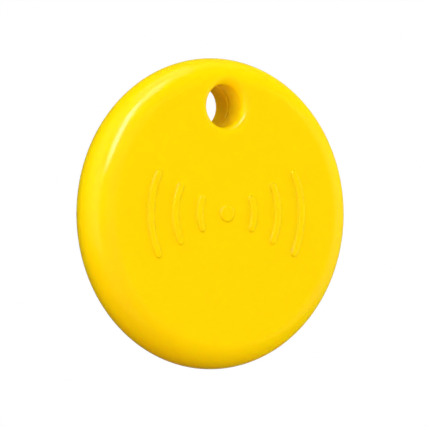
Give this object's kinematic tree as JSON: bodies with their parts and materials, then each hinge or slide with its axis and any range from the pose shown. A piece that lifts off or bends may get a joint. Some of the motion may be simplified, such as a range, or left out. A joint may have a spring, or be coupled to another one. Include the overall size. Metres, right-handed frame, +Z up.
{
  "type": "bluetooth tracker tag",
  "caption": "Round key tag with a full-round rim, a rounded key hole, a raised radio-wave mark, a press-to-ring front and a pull-off battery cover.",
  "frame": {"origin": "centre of the disc, midway between its two faces and on its centre line", "axes": "-Y out of the front, marked face; +Y out of the battery cover; +Z up from the centre to the key hole; the tag is upright, as it hangs from a ring"},
  "size_m": [0.0378, 0.0066, 0.0378],
  "materials": {
    "shell_plastic": "satin",
    "seal_rubber": "matte",
    "board_laminate": "satin",
    "gold_plate": "satin",
    "dome_steel": "polished",
    "clear_film": "gloss",
    "contact_steel": "satin",
    "cell_steel": "satin",
    "grommet_plastic": "satin",
    "lithium_foil": "matte",
    "separator_felt": "matte",
    "cathode_mix": "matte",
    "sounder_brass": "satin",
    "sounder_ceramic": "matte",
    "silver_electrode": "satin",
    "foam_tape": "matte",
    "chip_epoxy": "satin",
    "solder_tin": "satin",
    "crystal_can": "satin",
    "capacitor_body": "satin",
    "resistor_body": "satin",
    "ferrite": "satin"
  },
  "bodies": {
    "core": {"circuit_board": "board_laminate", "switch_pads": "gold_plate", "snap_dome": "dome_steel", "dome_film": "clear_film", "negative_contact": "gold_plate", "positive_spring_left": "contact_steel", "positive_spring_right": "contact_steel", "cell_stops": "contact_steel", "sounder_finger_ceramic": "gold_plate", "sounder_finger_brass": "gold_plate", "radio_chip": "chip_epoxy", "radio_chip_pads": "solder_tin", "main_crystal": "crystal_can", "sleep_crystal": "crystal_can", "antenna_trace": "gold_plate", "capacitor_bodies": "capacitor_body", "capacitor_ends": "solder_tin", "resistor_bodies": "resistor_body", "resistor_ends": "solder_tin", "boost_inductor": "ferrite", "inductor_ends": "solder_tin", "transistor_body": "chip_epoxy", "transistor_leads": "solder_tin", "test_pads": "gold_plate"},
    "front": {"front_shell": "shell_plastic", "keyhole_seal": "seal_rubber"},
    "rear": {"rear_shell": "shell_plastic", "rim_seal": "seal_rubber", "sounder_tape": "foam_tape", "sounder_brass": "sounder_brass", "sounder_ceramic": "sounder_ceramic", "sounder_electrode": "silver_electrode"},
    "cell": {"cell_can": "cell_steel", "cell_cap": "cell_steel", "cell_grommet": "grommet_plastic", "lithium_anode": "lithium_foil", "cell_separator": "separator_felt", "cathode_pellet": "cathode_mix"}
  },
  "joints": [
    {"name": "press_front", "type": "slide", "parent": "core", "child": "front", "axis": [0, 1, 0], "range_m": [0, 0.00015], "stiffness_N_per_m": 12500, "deforming": ["snap_dome", "dome_film"]},
    {"name": "cover_pull", "type": "slide", "parent": "core", "child": "rear", "axis": [0, 1, 0], "range_m": [0, 0.03]},
    {"name": "cell_lift", "type": "slide", "parent": "core", "child": "cell", "axis": [0, 1, 0], "range_m": [0, 0.015]}
  ],
  "couplings": [
    {"joint": "cell_lift", "follows": "cover_pull", "ratio": 0.5}
  ]
}
